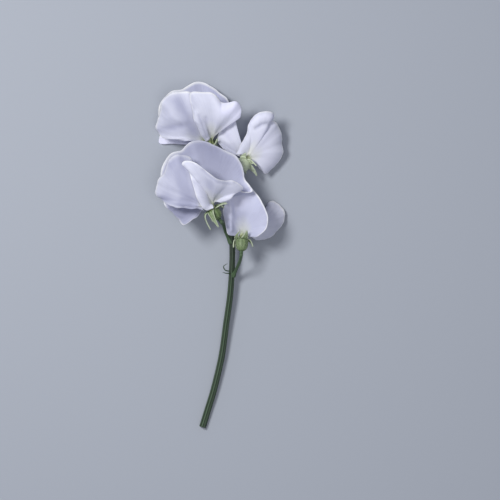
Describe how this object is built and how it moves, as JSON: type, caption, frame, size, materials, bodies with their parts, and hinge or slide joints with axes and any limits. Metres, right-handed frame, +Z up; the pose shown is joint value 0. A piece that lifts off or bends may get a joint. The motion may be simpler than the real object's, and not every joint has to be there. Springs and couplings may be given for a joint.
{
  "type": "sweet pea flower",
  "caption": "Cut sweet pea flower lying on its side: a green stem with a loose spray of ruffled white blossoms.",
  "frame": {"origin": "middle of the outline box, at the surface that the flower lies on", "axes": "+Y along the stem towards the blossoms, +Z up from the surface, +X to the right seen from above"},
  "size_m": [0.0722, 0.1914, 0.0447],
  "materials": {
    "petal": "matte",
    "keel": "matte",
    "calyx": "matte",
    "stem": "satin",
    "stamen": "matte"
  },
  "bodies": {
    "root": {"stem": "stem", "standard_1": "petal", "wing_left_1": "petal", "wing_right_1": "petal", "standard_2": "petal", "wing_left_2": "petal", "wing_right_2": "petal", "standard_3": "petal", "wing_left_3": "petal", "wing_right_3": "petal", "standard_4": "petal", "wing_left_4": "petal", "wing_right_4": "petal", "calyx_1": "calyx", "keel_1": "keel", "stamens_1": "stamen", "calyx_2": "calyx", "keel_2": "keel", "stamens_2": "stamen", "calyx_3": "calyx", "keel_3": "keel", "stamens_3": "stamen", "calyx_4": "calyx", "keel_4": "keel", "stamens_4": "stamen"}
  },
  "joints": []
}
